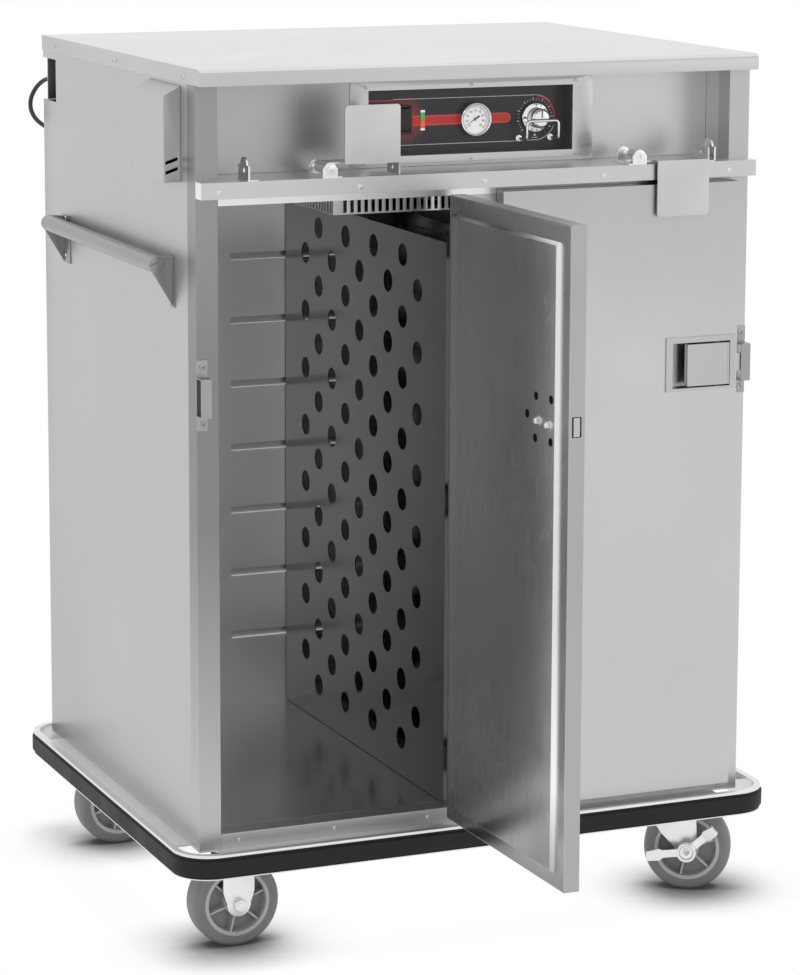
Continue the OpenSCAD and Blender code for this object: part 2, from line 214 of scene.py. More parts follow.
M = {
    # side panels and side vent: a darker steel than the front, painted shade on the sides
    "outer": steel("steel_outer_painted_shade", 0.50, 0.40, "z"),
    # front: the fade darkens the steel towards the top, painted shade
    "front": steel("steel_front", 0.56, 0.38, "z", painted_light_fade=(2, 0.95, 1.26, 1.0, 0.84)),
    # recess panel: the fade darkens the left side and lightens the right, painted shade and light
    "recess": steel("steel_recess", 0.56, 0.36, "z", painted_light_fade=(0, -0.45, 0.30, 0.76, 1.06)),
    # header ledge: a brighter steel than the trim on its front faces, painted light
    "ledge": steel("steel_ledge_painted_light", 0.80, 0.34, "x"),
    # lid: a bright steel on the top, painted light, and a darker one on the turned-down faces, painted shade
    "top": steel("steel_top_painted_light", 0.74, 0.42, "x"),
    "lip": steel("steel_lid_sides_painted_shade", 0.53, 0.36, "x"),
    "trim": steel("steel_trim", 0.56, 0.32, "x"),
    "channel": steel("steel_channel", 0.78, 0.36, "x"),
    # free edge of the open door skin: a darker steel than the face, painted shade
    "edge": steel("steel_edge_painted_shade", 0.42, 0.36, "z"),
    "inner": steel("steel_inner", 0.56, 0.22, "z", 0.04, 0.012, 0.012),
    # divider walls: steel darkened far below its own tone, painted shade of the cabinet interior
    "divider": steel("steel_divider_painted_shade", 0.09, 0.18, "z", 0.03, 0.008, 0.01),
    # right pan: the fade lightens the lower part, painted light
    "pan": steel("steel_pan", 0.54, 0.24, "z", 0.04, 0.012, 0.012, painted_light_fade=(2, 0.25, 0.95, 1.55, 1.0)),
    # open left pan: the fades are a painted reflection and shade, lighter at the free end, darker towards the hinge,
    # lighter low down and dark at the foot
    "pan_l": steel("steel_pan_left", 0.54, 0.28, "z", 0.04, 0.012, 0.012, painted_light_fade=[(1, -0.60, -0.27, 1.35, 0.40), (2, 0.40, 0.62, 1.25, 1.0), (2, 0.21, 0.36, 0.45, 1.0)]),
    "post_l": steel("steel_post_left", 0.56, 0.38, "z", painted_light_fade=[(2, 0.22, 0.72, 0.92, 0.45), (2, 1.0, 1.28, 1.0, 1.25)]),
    "strike": steel("steel_strike", 0.36, 0.32, "z"),
    "back": steel("steel_back", 0.58, 0.40, "z"),
    "base": steel("steel_base", 0.78, 0.42, "x"),
    "zinc": plastic("bright_zinc", (0.79, 0.79, 0.80), 0.30, 0.25, 500, 0.08, metallic=1.0),
    "chrome": steel("chrome", 0.80, 0.10, "z", 0.03, 0.01, 0.0),
    "bolt": plastic("screw_steel", (0.66, 0.66, 0.65), 0.26, 0.12, 700, 0.05, metallic=1.0),
    "handle": steel("steel_handle", 0.30, 0.30, "y"),
    "latch": steel("steel_latch", 0.50, 0.28, "z"),
    # black panel; its emission paints the rocker's red glow round the switch, painted light
    "black": plastic("panel_black", (0.022, 0.021, 0.026), 0.32, 0.05, 900),
    "rubber": plastic("bumper_rubber", (0.010, 0.010, 0.011), 0.55, 0.25, 700, spec=0.25),
    "cord": plastic("cord_black", (0.02, 0.02, 0.021), 0.5, 0.1, 600),
    "tyre": plastic("tyre_grey", (0.17, 0.17, 0.175), 0.55, 0.3, 600),
    "rim": plastic("rim_grey", (0.38, 0.38, 0.385), 0.42, 0.2, 500),
    # the recessed web is a darker grey than the rim, ribs and hub, painted shade
    "web": plastic("web_grey_painted_shade", (0.24, 0.24, 0.243), 0.5, 0.2, 500),
    "switch": plastic("switch_black", (0.012, 0.012, 0.013), 0.3, 0.03, 900),
    "motor": plastic("motor_grey", (0.06, 0.06, 0.065), 0.45, 0.1),
    # near-black insulation, painted shade so that it reads dark through the liner
    "fibre": plastic("fibre_board_painted_shade", (0.035, 0.034, 0.032), 0.95, 0.6, 300),
    # its emission is painted light on the dial face and the lamp end caps
    "white": plastic("dial_white_painted_glow", (0.88, 0.88, 0.87), 0.5, 0.02, 900, 0.03, emit=((1, 1, 1), 0.28)),
    "print_white": plastic("print_white", (0.75, 0.75, 0.74), 0.5, 0.02, 900, 0.03),
    "red": plastic("print_red", (0.66, 0.035, 0.028), 0.45, 0.02, 900, 0.03),
    "print_pink": plastic("print_pink", (0.62, 0.22, 0.20), 0.45, 0.02, 900, 0.03),
    "glow": plastic("rocker_red", (0.75, 0.03, 0.015), 0.25, 0.02, 900, 0.03, emit=((1.0, 0.03, 0.01), 0.35)),
    "green": plastic("lens_green", (0.03, 0.42, 0.10), 0.18, 0.05, 500, 0.03, coat=0.5, emit=((0.05, 0.8, 0.15), 0.15)),
    "orange": plastic("lens_orange", (0.75, 0.10, 0.02), 0.18, 0.05, 500, 0.03, coat=0.5, emit=((1.0, 0.15, 0.02), 0.25)),
    "plug": plastic("plug_black", (0.004, 0.004, 0.004), 0.8, 0.05, 500, spec=0.1),
    # groove floors: a darker steel than the liner, painted shade
    "groove": steel("steel_groove_painted_shade", 0.52, 0.34, "x"),
    # pale glowing plastic for the grooves' lower edges, painted highlight
    "lit_edge": plastic("lit_edge", (0.80, 0.80, 0.80), 0.5, 0.02, 900, 0.03, emit=((1, 1, 1), 0.30)),
    # rear and side liners: steel lightened almost to white, painted light
    "rear": steel("steel_rear_painted_light", 0.96, 0.40, "z", 0.05, 0.01, 0.012),
    # dark seal in the door seam; the same material is painted shade in the groove roofs and the screw cross recesses
    "seam": plastic("dark_seal_and_painted_shade", (0.03, 0.03, 0.03), 0.6, 0.05, 500),
}
pb = M["black"].node_tree                # painted light: red glow painted on the panel round the lit rocker
tc = pb.nodes.new("ShaderNodeTexCoord")
mp = pb.nodes.new("ShaderNodeMapping")
mp.vector_type = "POINT"
c0 = D(-88, 118, 1369.5)
mp.inputs["Location"].default_value = (-c0.x / 0.042, -c0.y / 0.042, -c0.z / 0.042)
mp.inputs["Scale"].default_value = (1 / 0.042, 1 / 0.042, 1 / 0.042)
pb.links.new(tc.outputs["Object"], mp.inputs["Vector"])
ln = pb.nodes.new("ShaderNodeVectorMath")
ln.operation = "LENGTH"
pb.links.new(mp.outputs["Vector"], ln.inputs[0])
pbsdf = [n for n in pb.nodes if n.type == "BSDF_PRINCIPLED"][0]
pb.links.new(ramp(pb, ln.outputs["Value"], [(0.0, (0.60, 0.02, 0.015)), (0.45, (0.34, 0.014, 0.010)), (1.0, (0.0, 0.0, 0.0))]), pbsdf.inputs["Emission Color"])
pbsdf.inputs["Emission Strength"].default_value = 0.42
lens_m, lnt, lb = new_mat("dial_lens")
lb.inputs["Base Color"].default_value = (0.95, 0.97, 0.97, 1)
lb.inputs["Alpha"].default_value = 0.10
lb.inputs["IOR"].default_value = 1.45
lens_m.blend_method = "BLEND"
lnt.links.new(maprange(lnt, noise_tex(lnt, coords(lnt), 40.0, 2.0), 0.3, 0.7, 0.02, 0.06), lb.inputs["Roughness"])
M["lens"] = lens_m

NODE_MAT = {
    "top_cover": "top", "left_side_panel": "outer", "right_side_panel": "outer", "back_panel": "back", "face_frame": "front",
    "header_ledge": "ledge", "recess_panel": "recess", "control_frame": "trim", "control_panel": "black", "thermometer": "chrome",
    "thermometer_needle": "switch", "thermostat_knob": "chrome", "knob_guard": "chrome", "switch_rocker": "switch", "indicator_lamps": "switch",
    "side_liners": "rear", "rear_liner": "rear", "deck_liners": "inner", "divider_walls": "divider", "blower_cover": "inner",
    "blower_motor": "motor", "blower_wheel": "latch", "base_frame": "base", "bumper_channel": "channel", "bumper_strip": "rubber",
    "rigid_casters": "zinc", "swivel_plates": "zinc", "fork_fr": "zinc", "fork_rr": "zinc", "brake_fr": "zinc", "brake_rr": "zinc",
    "wheel_fl": "tyre", "wheel_rl": "tyre", "wheel_fr": "tyre", "wheel_rr": "tyre", "push_handle": "handle", "side_vent": "outer",
    "cord_plate": "front", "strain_relief": "cord", "cord_lead": "cord", "cord_coil": "cord", "plug": "cord", "insulation": "fibre",
    "hinge_jambs": "chrome", "strikes": "strike", "lock_brackets": "zinc",
}
for side in ("left", "right"):
    NODE_MAT.update({side + "_door_skin": "front", side + "_door_pan": "pan", side + "_latch_case": "latch", side + "_latch_paddle": "latch",
                     side + "_latch_bolt": "latch", side + "_hinge_leaves": "chrome", side + "_lock_plate": "trim"})
node_body = {n: b for b, ns in frame["record"]["behaviour"]["bodies"].items() for n in ns}


def finish_mesh(obj, angle=32.0, bevel=0.0, segs=2):
    """Rounds the edges into the mesh itself; flat faces keep their own flat shading."""
    if bevel:
        b = obj.modifiers.new("bevel", "BEVEL")
        b.width = bevel
        b.segments = segs
        b.limit_method = "ANGLE"
        b.angle_limit = R(angle)
        dg = bpy.context.evaluated_depsgraph_get()
        me = bpy.data.meshes.new_from_object(obj.evaluated_get(dg), depsgraph=dg)
        obj.modifiers.clear()
        obj.data = me
        angle = 20.0 if segs < 3 else 14.0
    obj.data.shade_smooth()
    obj.data.set_sharp_from_angle(angle=R(angle))
    return obj


def refine(node, mat=None, bevel=0.0004, segs=2, angle=32.0):
    """A cleaned copy of a CAD node with softened edges, which stands for it."""
    src = frame["nodes"][node]
    bm = bmesh.new()
    bm.from_mesh(src.data)
    bmesh.ops.remove_doubles(bm, verts=bm.verts, dist=0.00001)
    bmesh.ops.recalc_face_normals(bm, faces=bm.faces)
    me = bpy.data.meshes.new(node + "_v")
    bm.to_mesh(me)
    bm.free()
    me.materials.clear()
    me.materials.append(M[mat or NODE_MAT[node]])
    obj = link(bpy.data.objects.new(node + "_v", me))
    finish_mesh(obj, angle, bevel, segs)
    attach(obj, node_body[node])
    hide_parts(node)
    return obj


for name, obj in frame["nodes"].items():
    obj.data.materials.clear()
    obj.data.materials.append(M[NODE_MAT[name]])


# ------------------------------------------------------------------ piece builder
MIRROR = Matrix.Diagonal((-1, 1, 1, 1))
HX, HY = -33.5, -37.5


def T(x, y, z):
    return Matrix.Translation((x, y, z))


def RZ(a):
    return Matrix.Rotation(R(a), 4, "Z")


LEFT_OPEN = T(HX, HY, 0) @ RZ(91) @ T(-HX, -HY, 0) @ MIRROR     # a point drawn on the closed right door, taken to the open left door


class G:
    """Collects shapes in millimetres, before the shift."""

    def __init__(self, xf=None):
        self.bm = bmesh.new()
        self.xf = xf or Matrix.Identity(4)

    def poly(self, verts, faces):
        vs = [self.bm.verts.new(self.xf @ Vector(v)) for v in verts]
        for f in faces:
            try:
                self.bm.faces.new([vs[i] for i in f])
            except ValueError:
                pass
        return self

    def box(self, x0, x1, y0, y1, z0, z1):
        v = [(x, y, z) for z in (z0, z1) for y in (y0, y1) for x in (x0, x1)]
        return self.poly(v, [(0, 2, 3, 1), (4, 5, 7, 6), (0, 1, 5, 4), (2, 6, 7, 3), (0, 4, 6, 2), (1, 3, 7, 5)])

    def lathe(self, origin, axis, prof, seg=48, a0=0.0):
        """prof: (radius, height along axis) from one end to the other; a radius of 0 closes an end, otherwise it is capped."""
        axis = Vector(axis).normalized()
        side = Vector((1, 0, 0)) if abs(axis.x) < 0.9 else Vector((0, 0, 1))
        u = axis.cross(side).normalized()
        w = axis.cross(u)
        o = Vector(origin)
        verts, rings = [], []
        for r, h in prof:
            if r <= 1e-6:
                rings.append([len(verts)])
                verts.append(o + axis * h)
            else:
                rings.append(list(range(len(verts), len(verts) + seg)))
                for k in range(seg):
                    a = a0 + 2 * math.pi * k / seg
                    verts.append(o + axis * h + (u * math.cos(a) + w * math.sin(a)) * r)
        faces = []
        for a, b in zip(rings, rings[1:]):
            if len(a) == 1 and len(b) == 1:
                continue
            for k in range(seg):
                n = (k + 1) % seg
                if len(a) == 1:
                    faces.append((a[0], b[n], b[k]))
                elif len(b) == 1:
                    faces.append((a[k], a[n], b[0]))
                else:
                    faces.append((a[k], a[n], b[n], b[k]))
        if len(rings[0]) > 1 and prof[0] != prof[-1]:
            faces.append(tuple(reversed(rings[0])))
        if len(rings[-1]) > 1 and prof[0] != prof[-1]:
            faces.append(tuple(rings[-1]))
        return self.poly(verts, faces)

    def cyl(self, p0, p1, r, seg=32):
        d = Vector(p1) - Vector(p0)
        return self.lathe(p0, d, [(r, 0), (r, d.length)], seg)

    def prism(self, pts, axis, a, b):
        """A flat outline pushed along an axis. pts are in the other two axes, in x, y, z order."""
        def p3(p, t):
            return {"x": (t, p[0], p[1]), "y": (p[0], t, p[1]), "z": (p[0], p[1], t)}[axis]
        n = len(pts)
        v = [p3(p, a) for p in pts] + [p3(p, b) for p in pts]
        f = [tuple(range(n)), tuple(reversed(range(n, 2 * n)))] + [(i, i + n, (i + 1) % n + n, (i + 1) % n) for i in range(n)]
        return self.poly(v, f)

    def tube(self, pts, r, seg=12, caps=True):
        """A round bar along points."""
        pts = [Vector(p) for p in pts]
        verts, rings = [], []
        prev = None
        for i, p in enumerate(pts):
            t = (pts[min(i + 1, len(pts) - 1)] - pts[max(i - 1, 0)]).normalized()
            if prev is None:
                prev = t.orthogonal().normalized()
            prev = (prev - t * prev.dot(t)).normalized()
            w = t.cross(prev)
            rr_ = r[i] if isinstance(r, (list, tuple)) else r
            rings.append(list(range(len(verts), len(verts) + seg)))
            for k in range(seg):
                a = 2 * math.pi * k / seg
                verts.append(p + (prev * math.cos(a) + w * math.sin(a)) * rr_)
        faces = []
        for a, b in zip(rings, rings[1:]):
            for k in range(seg):
                n = (k + 1) % seg
                faces.append((a[k], a[n], b[n], b[k]))
        if caps:
            faces.append(tuple(reversed(rings[0])))
            faces.append(tuple(rings[-1]))
        return self.poly(verts, faces)

    def dome(self, at, axis, r, h, seg=24):
        n = 6
        prof = [(r, -0.3)] + [(r * math.cos(R(90 * k / n)), h * math.sin(R(90 * k / n))) for k in range(n)] + [(0, h)]
        return self.lathe(at, axis, prof, seg)

    def obj(self, name, mat, body, bevel=0.0, segs=2, angle=32.0, slot=None, cast=True):
        bm = self.bm
        bmesh.ops.recalc_face_normals(bm, faces=bm.faces)
        for v in bm.verts:
            v.co = Vector((v.co.x / 1000.0, (v.co.y + YS) / 1000.0, v.co.z / 1000.0))
        me = bpy.data.meshes.new(name)
        bm.to_mesh(me)
        bm.free()
        me.materials.append(mat if not isinstance(mat, str) else M[mat])
        o = link(bpy.data.objects.new(name, me))
        finish_mesh(o, angle, bevel / 1000.0, segs)
        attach(o, body)
        return o


def arc(cx, cy, r, a0, a1, n=8):
    return [(cx + r * math.cos(R(a0 + (a1 - a0) * k / n)), cy + r * math.sin(R(a0 + (a1 - a0) * k / n))) for k in range(n + 1)]


# ------------------------------------------------------------------ the cord
ROUTE = [(-482, 822, 1394), (-483, 842, 1393), (-488, 861, 1387), (-496, 875, 1374), (-503, 882, 1356), (-505, 879, 1337), (-501, 867, 1321), (-491, 853, 1309),
         (-475, 841, 1299), (-452, 832, 1289), (-424, 827, 1277), (-396, 825, 1263), (-370, 824, 1245), (-348, 824, 1222), (-333, 824, 1194), (-326, 824, 1164),
         (-324, 824, 1130), (-324, 824, 1080), (-324, 824, 900), (-324, 824, 700), (-324, 825, 500), (-324, 826, 340), (-324, 829, 275), (-323, 836, 232),
         (-322, 844, 200), (-322, 849, 172), (-322, 850, 130), (-322, 850, 80), (-322, 850, 44), (-321, 853, 29), (-321, 862, 16), (-321, 875, 7), (-321, 890, 4),
         (-321, 905, 4)]
COIL_C, R_OUT, R_IN = (-270, 905), 51.0, 43.0


def smooth(t, a, b):
    t = min(1.0, max(0.0, (t - a) / (b - a)))
    return t * t * (3 - 2 * t)


def crp(a, b, c, d, t):
    return 0.5 * ((2 * b) + (c - a) * t + (2 * a - 5 * b + 4 * c - d) * t * t + (3 * b - a - 3 * c + d) * t ** 3)


def cord_path():
    P = [Vector(p) for p in ROUTE]
    out = []
    for i in range(len(P) - 1):
        a, b, c, d = P[max(i - 1, 0)], P[i], P[i + 1], P[min(i + 2, len(P) - 1)]
        n = max(1, math.ceil((c - b).length / 8.0))
        out += [crp(a, b, c, d, k / n) for k in range(n)]
    turns = 3.5
    n = int(turns * 36)
    for k in range(n + 1):
        f = turns * k / n
        r = R_OUT - (R_OUT - R_IN) * smooth(f, 0.5, 0.95) + (R_OUT - R_IN) * smooth(f, 1.65, 2.1)
        z = 4 + 8 * smooth(f, 1.1, 1.5) + 8 * smooth(f, 2.4, 2.75)
        a = R(180 - 360 * f)
        out.append(Vector((COIL_C[0] + r * math.cos(a), COIL_C[1] + r * math.sin(a), z)))
    ex, ey, ez = out[-1]
    tail = [(ex + 0.6, ey - 11, 19.4), (ex + 2.4, ey - 22, 17.9), (ex + 4.8, ey - 34, 15.8), (ex + 6.4, ey - 45, 14.3), (ex + 7.0, ey - 55, 14.0)]
    Q = [out[-2], out[-1]] + [Vector(t) for t in tail]
    for i in range(1, len(Q) - 1):
        a, b, c, d = Q[i - 1], Q[i], Q[i + 1], Q[min(i + 2, len(Q) - 1)]
        out += [crp(a, b, c, d, k / 2.0) for k in (1, 2)]
    return out


CORD_PTS = cord_path()
cd = bpy.data.curves.new("supply_cord", "CURVE")
cd.dimensions = "3D"
sp = cd.splines.new("POLY")
sp.points.add(len(CORD_PTS) - 1)
for pt, p in zip(sp.points, CORD_PTS):
    pt.co = (*D(*p), 1)
cd.bevel_depth = 0.004
cd.bevel_resolution = 5
cd.use_fill_caps = True
cd.materials.append(M["cord"])
cord_o = link(bpy.data.objects.new("supply_cord", cd))
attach(cord_o, "root")
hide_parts("cord_lead", "cord_coil")

g = G()                                     # plug body with grip ribs and a tapered neck
prof = [(0, 0), (11.0, 0), (13.4, 1.2), (14, 3), (14, 8)]
for k in range(4):
    y = 9 + 4.4 * k
    prof += [(14, y), (12.7, y + 0.8), (12.7, y + 2.2), (14, y + 3)]
prof += [(14, 28), (12.6, 31), (9, 32), (7, 33), (7, 35), (6.2, 35.6), (6.2, 37), (6.9, 37.6), (6.9, 39.4), (5.9, 40), (5.9, 41.4), (6.5, 42), (6.2, 44), (5.2, 46), (0, 46)]
g.lathe((-212, 816, 14), (0, 1, 0), prof, 40)
plug_o = g.obj("plug_body", "cord", "root")
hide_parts("plug")
g = G()
for x in (-218.3, -205.7):
    g.prism([(799.2, 13.9), (800.6, 13.5), (816, 13.5), (816, 19.9), (800.6, 19.9), (799.2, 19.5)], "x", x - 0.75, x + 0.75)
g.lathe((-212, 796, 5.8), (0, 1, 0), [(0, 0), (1.4, 0.3), (2.3, 1.6), (2.35, 20)], 20)
blades_o = g.obj("plug_blades", "chrome", "root", 0.15)
g = G()                                     # tie round the coil
sec = arc(54.2, 2.2, 1.5, -90, 0, 3) + arc(54.2, 22.8, 1.5, 0, 90, 3) + arc(39.8, 22.8, 1.5, 90, 180, 3) + arc(39.8, 2.2, 1.5, 180, 270, 3)
for da in (90,):
    a = R(da)
    rows = []
    verts, faces = [], []
    n = len(sec)
    for s, w in ((-4, 0), (4, 0), (4, 1), (-4, 1)):
        for q in sec:
            cx_, cz_ = 47.0, 12.5
            k = 1.0 if w == 0 else 0.965
            rr_, zz = cx_ + (q[0] - cx_) * k, cz_ + (q[1] - cz_) * k
            verts.append((COIL_C[0] + rr_ * math.cos(a) - s * math.sin(a), COIL_C[1] + rr_ * math.sin(a) + s * math.cos(a), zz))
    for r0 in range(4):
        for i in range(n):
            j = (i + 1) % n
            faces.append((r0 * n + i, r0 * n + j, ((r0 + 1) % 4) * n + j, ((r0 + 1) % 4) * n + i))
    g.poly(verts, faces)
tie_o = g.obj("coil_tie", "switch", "root", angle=40)
g = G()                                     # gland and tapered boot where the lead leaves the box
g.lathe((-482, 797, 1394), (0, 1, 0), [(0, 0), (11, 0), (11, 3.4), (10.4, 4), (8.0, 4.6), (8.0, 6)], 6)
prof = [(7.8, 5.5)]
for k in range(5):
    y = 6.2 + 3.4 * k
    r_ = 7.7 - 0.36 * k
    prof += [(r_, y), (r_, y + 1.9), (r_ - 0.9, y + 2.2), (r_ - 0.9, y + 3.1)]
prof += [(5.6, 23.6), (5.1, 25), (4.0, 25)]
g.lathe((-482, 797, 1394), (0, 1, 0), prof, 32)
boot_o = g.obj("strain_relief_boot", "cord", "root", 0.25)
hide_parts("strain_relief")

# ------------------------------------------------------------------ sheet metal
lid_o = refine("top_cover", bevel=0.0012, segs=3)
lid_o.data.materials.append(M["lip"])                            # painted shade: the turned-down faces get a darker steel than the painted-light top
for p in lid_o.data.polygons:
    if p.normal.z < 0.5:
        p.material_index = 1
refine("side_vent", bevel=0.0012, segs=3)
for n in ("header_ledge", "push_handle"):
    refine(n, bevel=0.0007, segs=2)
# painted light: the header ledge keeps the bright ledge steel, its front faces get the trim steel
o = bpy.data.objects["header_ledge_v"]
o.data.materials.append(M["trim"])
for p in o.data.polygons:
    if p.normal.y < -0.9 and p.center.y < D(0, -20, 0).y:
        p.material_index = 1
refine("bumper_strip", bevel=0.0016, segs=3)
for n in ("left_side_panel", "right_side_panel", "face_frame", "recess_panel", "control_frame", "control_panel", "base_frame", "bumper_channel", "cord_plate",
          "left_door_skin", "right_door_skin", "left_latch_case", "right_latch_case", "left_latch_paddle",
          "right_latch_paddle", "left_latch_bolt", "right_latch_bolt", "left_hinge_leaves", "right_hinge_leaves", "left_lock_plate",
          "right_lock_plate", "hinge_jambs", "strikes", "lock_brackets", "rigid_casters", "swivel_plates", "fork_fr", "fork_rr",
          "back_panel", "blower_cover", "rear_liner", "side_liners", "deck_liners"):
    refine(n, bevel=0.0005)
refine("divider_walls", bevel=0.0, angle=14.0)
for side, xf in (("left", LEFT_OPEN), ("right", None)):          # inner pan: folded sheet with a raised, round-edged field
    def rect(x0, x1, z0, z1, y):
        return [(x0, y, z0), (x1, y, z0), (x1, y, z1), (x0, y, z1)]
    def loft(g, rings):
        v = [p for r in rings for p in r]
        f = [(3, 2, 1, 0), tuple(4 * (len(rings) - 1) + i for i in range(4))]
        f += [(4 * k + i, 4 * k + (i + 1) % 4, 4 * k + 4 + (i + 1) % 4, 4 * k + 4 + i) for k in range(len(rings) - 1) for i in range(4)]
        return g.poly(v, f)
    g = loft(G(xf), [rect(30, 468.5, 204, 1258.5, -2.5), rect(30, 468.5, 204, 1258.5, -1.0)])
    sheet_o = g.obj(side + "_pan_sheet", "pan_l" if side == "left" else "pan", side + "_door", 0.4, 2)
    g = loft(G(xf), [rect(41.5, 436, 225, 1230, -1.4), rect(41.5, 436, 225, 1230, -0.9), rect(46.5, 431, 230, 1225, 5.0)])
    g.obj(side + "_pan_field", "pan_l" if side == "left" else "pan", side + "_door", 1.6, 3)
    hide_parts(side + "_door_pan")
refine("blower_motor", bevel=0.002, segs=3)
refine("blower_wheel", bevel=0.0003, segs=1)
refine("insulation", bevel=0.003, segs=2)


# ------------------------------------------------------------------ fasteners
def screws(name, spots, body="root", r=3.6, h=2.0, mat="bolt", cross=True, xf=None):
    """Domed heads: (point, direction)."""
    g = G(xf)
    c = G(xf)
    for p, ax in spots:
        p = Vector(p)
        a = Vector(ax).normalized()
        g.lathe(p, a, [(0, -0.6), (r, -0.6), (r, 0.25), (r * 0.96, h * 0.42), (r * 0.80, h * 0.74), (r * 0.52, h * 0.93), (0, h)], 20)
        if cross:
            u = a.orthogonal().normalized()
            w = a.cross(u)
            for d1, d2 in ((u, w), (w, u)):
                o = p + a * (h * 0.80)
                v = [o + d1 * sx * r * 0.42 + d2 * sy * r * 0.09 + a * sz for sz in (0, h * 0.25) for sy in (-1, 1) for sx in (-1, 1)]
                c.poly(v, [(0, 2, 3, 1), (4, 5, 7, 6), (0, 1, 5, 4), (2, 6, 7, 3), (0, 4, 6, 2), (1, 3, 7, 5)])
    g.obj(name, mat, body, angle=40)
    if cross:
        # the cross recess is dark blocks on the head, painted shade standing for the hollow
        c.obj(name + "_recess", "seam", body)
    else:
        c.bm.free()


FRONT = (0, -1, 0)
screws("lid_screws", [((s * 501.5, y, 1459), (s, 0, 0)) for s in (-1, 1) for y in (52, 400, 750)], r=4.2, h=2.0)
o = bpy.data.objects["face_frame_v"]                             # left corner post: a darker tone stands in for the open door it reflects
o.data.materials.append(M["post_l"])
for p in o.data.polygons:
    if p.center.x < -0.44:
        p.material_index = len(o.data.materials) - 1
o = bpy.data.objects["rear_liner_v"]                             # the pressed grooves: painted shade on the floor with a darker steel and on the roof and ends with the dark seam material, painted highlight on the bright lower edge
for n in ("groove", "seam", "lit_edge"):
    o.data.materials.append(M[n])
for p in o.data.polygons:
    c, nz = p.center, p.normal.z
    if D(0, 766.2, 0).y < c.y < D(0, 776.6, 0).y and 0.3 < c.z < 1.1 and abs(c.x) < 0.1615:
        p.material_index = 3 if nz > 0.7 else 2 if (nz < -0.7 or abs(p.normal.x) > 0.7) else 1
g = G()                                                          # gussets closing the corners of the bumper frame
for s in (-1, 1):
    for back in (0, 1):
        pts = [(472, -44)] + arc(482, 7, 50.8, -90, 0, 8) + [(532.8, 46), (499, 46), (499, 1), (472, 1)]
        g.prism([(s * x, 784 - y if back else y) for x, y in pts], "z", 152.2, 154)
g.obj("corner_gussets", "base", "root")
for n in ("left_door_skin",):                                    # painted shade: the folded free edge gets a darker steel than the face
    o = bpy.data.objects[n + "_v"]
    o.data.materials.append(M["edge"])
    for p in o.data.polygons:
        if p.normal.y < -0.9:
            p.material_index = 1
screws("ledge_rivets", [((x, -28, 1279), FRONT) for x in (-470, -227, -6, 212, 448)], r=4.4, h=1.3, cross=False)
screws("frame_screws", [((x, 83.5, z), FRONT) for x, z in ((-171, 1428), (20, 1428), (212, 1430), (-171, 1304), (20, 1304), (212, 1305))], r=3.4, h=1.7)
screws("back_screws", [((x, 815, z), (0, 1, 0)) for x in (-488, -250, 0, 250, 488) for z in (197, 560, 920, 1250, 1436) if not (x == -488 and z > 1300)] , r=3.8, h=1.8)
screws("cord_plate_rivets", [((-470, 797, 1428), (0, 1, 0)), ((-448, 797, 1367), (0, 1, 0))], r=3.4, h=1.4, cross=False)
screws("strike_screws", [((s * 491, -1.5, z), FRONT) for s in (-1, 1) for z in (901, 995)], r=4.6, h=2.4)
screws("handle_screws", [((-502, y, z), (-1, 0, 0)) for y in (112, 686) for z in (1092, 1128, 1158)], r=3.6, h=1.8)
screws("sill_rivets", [((x, 0, 197), FRONT) for x in (-430, -260, -90, 90, 260, 430)], r=3.4, h=1.2, cross=False)
screws("base_plate_bolts", [((kx + dx, ky + dy, 176), (0, 0, -1)) for kx, ky in ((395, 59), (395, 698)) for dx in (-36, 36) for dy in (-45, 45)]
       + [((-421 + dx, ky + dy, 176), (0, 0, -1)) for ky in (60, 679) for dx in (-40, 40) for dy in (-37, 37)], r=6.0, h=4.0, cross=False, mat="zinc")
HZ = (280, 725, 1170)
leaf = [((x, -31, z + dz), FRONT) for z in HZ for x, dz in ((58, -16), (58, 16), (92, -16), (92, 16))]
screws("right_hinge_screws", leaf, "right_door", r=3.6, h=1.6)
screws("left_hinge_screws", leaf, "left_door", r=3.6, h=1.6, xf=LEFT_OPEN)
screws("jamb_screws", [((s * 14, -42, z + dz), FRONT) for s in (-1, 1) for z in HZ for dz in (-20, 0, 20)], r=3.6, h=1.6)


def acorn_nuts(name, body, xf):
    g = G(xf)
    for x, z in ((374, 943), (411, 942)):
        g.lathe((x, 5.0, z), (0, 1, 0), [(0, 0), (8.6, 0), (8.6, 0.9), (8.2, 1.1), (0, 1.1)], 24)
        g.lathe((x, 5.8, z), (0, 1, 0), [(6.2, 0), (6.5, 0.5), (6.5, 3.6), (5.7, 4.2)], 6)
        g.lathe((x, 9.8, z), (0, 1, 0), [(5.5, 0), (5.5, 0.4), (5.2, 1.6), (4.4, 2.7), (3.2, 3.5), (1.6, 3.9), (0, 4.0)], 24)
    g.obj(name, "bolt", body, 0.15)
    g = G(xf)                                                    # dark plugs in the five spare fixing holes
    for x, z in ((366, 981), (419, 983), (335, 948), (364, 914), (418, 916)):
        g.lathe((x, 4.7, z), (0, 1, 0), [(0, 0), (6.9, 0), (6.9, 0.6), (6.2, 1.0), (0, 1.1)], 24)
    g.obj(name.replace("acorn_nuts", "hole_plugs"), "plug", body)


acorn_nuts("left_acorn_nuts", "left_door", LEFT_OPEN)
acorn_nuts("right_acorn_nuts", "right_door", None)
for side, xf in (("left", LEFT_OPEN), ("right", None)):          # rubber seal in the seam between pan and skin
    g = G(xf)
    for x0, x1, z0, z1 in ((29.4, 469.2, 1257.2, 1258.6), (29.4, 469.2, 204.0, 205.4), (29.4, 30.6, 205, 1257.6), (468.0, 469.2, 205, 1257.6)):
        g.box(x0, x1, -2.3, -1.3, z0, z1)
    g.obj(side + "_door_seam", "seam", side + "_door", angle=20)


